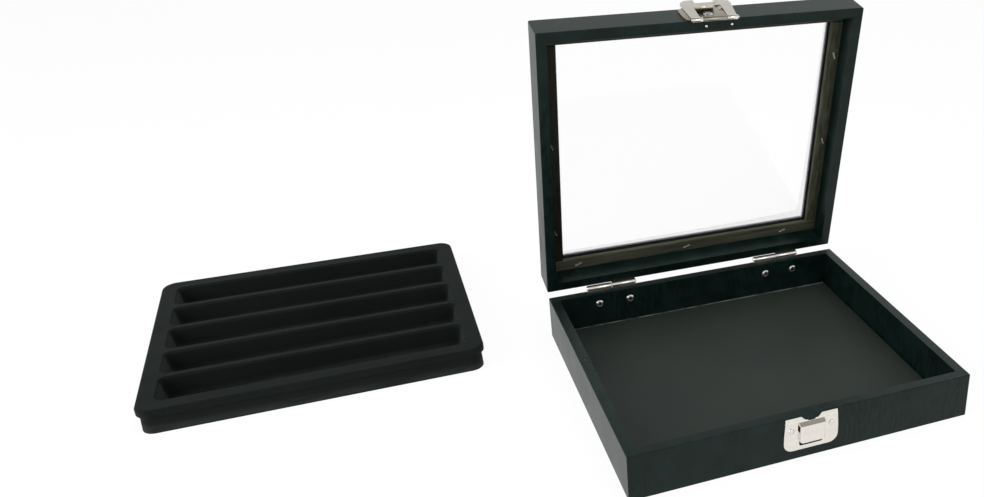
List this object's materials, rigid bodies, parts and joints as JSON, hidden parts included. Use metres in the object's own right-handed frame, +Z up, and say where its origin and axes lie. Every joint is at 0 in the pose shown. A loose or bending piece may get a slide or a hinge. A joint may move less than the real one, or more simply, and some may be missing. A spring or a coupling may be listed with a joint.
{
  "type": "fossil riker mount box",
  "caption": "Wrapped-board display case, glass window in a hinged lid that stands open, nickel hinges and snap hasp, padded floor, with its slotted insert tray beside it",
  "frame": {"origin": "centre of the case's underside, on the table", "axes": "+X to the right across the case, -Y to its front where the clasp is, +Z up"},
  "size_m": [0.4528, 0.33, 0.2214],
  "materials": {
    "covering": "fine grained leatherette, semi-matte, greenish black",
    "board": "plain grey-brown board, hidden by the covering",
    "pad": "smooth dark grey padded board",
    "strip": "dark olive-brown stained strip, matte",
    "glass": "clear flat glass",
    "nickel": "bright warm nickel plate",
    "pin": "plain bright steel wire",
    "flock": "flocked green-black, matte"
  },
  "bodies": {
    "base": {"base_back_wall": "board", "base_covering": "covering", "base_front_wall": "board", "base_left_wall": "board", "base_right_wall": "board", "bottom_panel": "board", "floor_pad": "pad", "hinge_base_leaf_left": "nickel", "hinge_base_leaf_right": "nickel", "hinge_pin_left": "pin", "hinge_pin_right": "pin", "hinge_rivets": "nickel", "keeper_brads": "nickel", "keeper_plate": "nickel"},
    "lid": {"clasp_rim_tacks": "nickel", "hasp_pin": "pin", "hinge_lid_leaf_left": "nickel", "hinge_lid_leaf_right": "nickel", "lid_back_rail": "board", "lid_clasp_brads": "nickel", "lid_clasp_plate": "nickel", "lid_covering": "covering", "lid_front_rail": "board", "lid_hinge_brads": "nickel", "lid_left_rail": "board", "lid_right_rail": "board", "retainer_back": "strip", "retainer_front": "strip", "retainer_left": "strip", "retainer_right": "strip", "retainer_staples_back": "pin", "retainer_staples_front": "pin", "retainer_staples_left": "pin", "retainer_staples_right": "pin", "window_glass": "glass"},
    "hasp": {"hasp": "nickel"},
    "tray": {"insert_tray": "flock"}
  },
  "joints": [
    {"name": "lid_hinge", "type": "hinge", "parent": "base", "child": "lid", "pos_m": [0, 0.09395, 0.0293], "axis": [-1, 0, 0], "range_deg": [-80, 100]},
    {"name": "hasp_hinge", "type": "hinge", "parent": "lid", "child": "hasp", "pos_m": [0.0013, 0.05756, 0.21434], "axis": [-1, 0, 0], "range_deg": [-173, 0]},
    {"name": "tray_lift", "type": "slide", "parent": "base", "child": "tray", "axis": [0, 0, 1], "range_m": [0, 0.08]}
  ]
}
